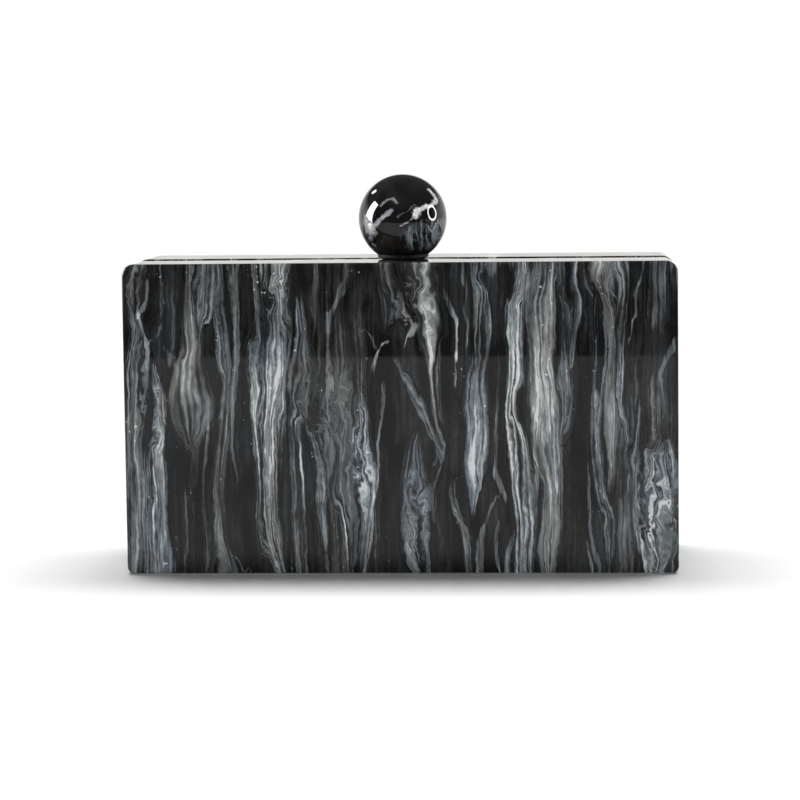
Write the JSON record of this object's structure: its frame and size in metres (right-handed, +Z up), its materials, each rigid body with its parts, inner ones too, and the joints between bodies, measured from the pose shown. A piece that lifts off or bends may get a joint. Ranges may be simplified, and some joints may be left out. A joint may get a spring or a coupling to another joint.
{
  "type": "box clutch purse",
  "caption": "Hard rectangular box clutch of dark marbled acrylic that opens on hinges under its seam, with a matching ball clasp on top.",
  "frame": {"origin": "on the surface the purse stands on, under the middle of the case", "axes": "+X to the right along the width, -Y out of the front face, +Z up"},
  "size_m": [0.2, 0.05, 0.144],
  "materials": {
    "marble_acrylic": "polished, near-black with cloudy white and grey veins",
    "gold_brass": "polished gold plate",
    "bright_steel": "bright turned steel",
    "suede_lining": "black faux suede"
  },
  "bodies": {
    "rear_shell": {"chain_tab_left": "gold_brass", "chain_tab_right": "gold_brass", "chain_tab_screw_left": "gold_brass", "chain_tab_screw_right": "gold_brass", "clasp_bracket": "gold_brass", "clasp_bracket_screw_left": "gold_brass", "clasp_bracket_screw_right": "gold_brass", "clasp_pivot_pin": "bright_steel", "hinge_left_pin": "gold_brass", "hinge_left_rear_leaf": "gold_brass", "hinge_left_rear_screw_1": "gold_brass", "hinge_left_rear_screw_2": "gold_brass", "hinge_left_rear_screw_3": "gold_brass", "hinge_right_pin": "gold_brass", "hinge_right_rear_leaf": "gold_brass", "hinge_right_rear_screw_1": "gold_brass", "hinge_right_rear_screw_2": "gold_brass", "hinge_right_rear_screw_3": "gold_brass", "rear_lining": "suede_lining", "rear_panel": "marble_acrylic", "rear_rim": "marble_acrylic"},
    "front_shell": {"clasp_strike": "gold_brass", "clasp_strike_screw_left": "gold_brass", "clasp_strike_screw_right": "gold_brass", "front_lining": "suede_lining", "front_panel": "marble_acrylic", "front_rim": "marble_acrylic", "hinge_left_front_leaf": "gold_brass", "hinge_left_front_screw_1": "gold_brass", "hinge_left_front_screw_2": "gold_brass", "hinge_left_front_screw_3": "gold_brass", "hinge_right_front_leaf": "gold_brass", "hinge_right_front_screw_1": "gold_brass", "hinge_right_front_screw_2": "gold_brass", "hinge_right_front_screw_3": "gold_brass"},
    "clasp": {"ball_knob": "marble_acrylic", "knob_stud": "bright_steel", "knob_spacer": "marble_acrylic", "clasp_lever": "gold_brass", "clasp_spring": "bright_steel"},
    "chain_ring_left": {"chain_ring_left": "gold_brass"},
    "chain_ring_right": {"chain_ring_right": "gold_brass"}
  },
  "joints": [
    {"name": "shell_open", "type": "hinge", "parent": "rear_shell", "child": "front_shell", "pos_m": [0, 0, 0.002], "axis": [1, 0, 0], "range_deg": [0, 100]},
    {"name": "clasp_tilt", "type": "hinge", "parent": "rear_shell", "child": "clasp", "pos_m": [0, 0.009, 0.1046], "axis": [-1, 0, 0], "range_deg": [0, 10], "stiffness_Nm_per_rad": 0.12, "springref_deg": -20.05, "deforming": ["clasp_spring"]},
    {"name": "ring_left_swing", "type": "hinge", "parent": "rear_shell", "child": "chain_ring_left", "pos_m": [-0.094, 0.012, 0.084], "axis": [0, -1, 0], "range_deg": [-4, 180]},
    {"name": "ring_right_swing", "type": "hinge", "parent": "rear_shell", "child": "chain_ring_right", "pos_m": [0.094, 0.012, 0.084], "axis": [0, 1, 0], "range_deg": [-4, 180]}
  ]
}
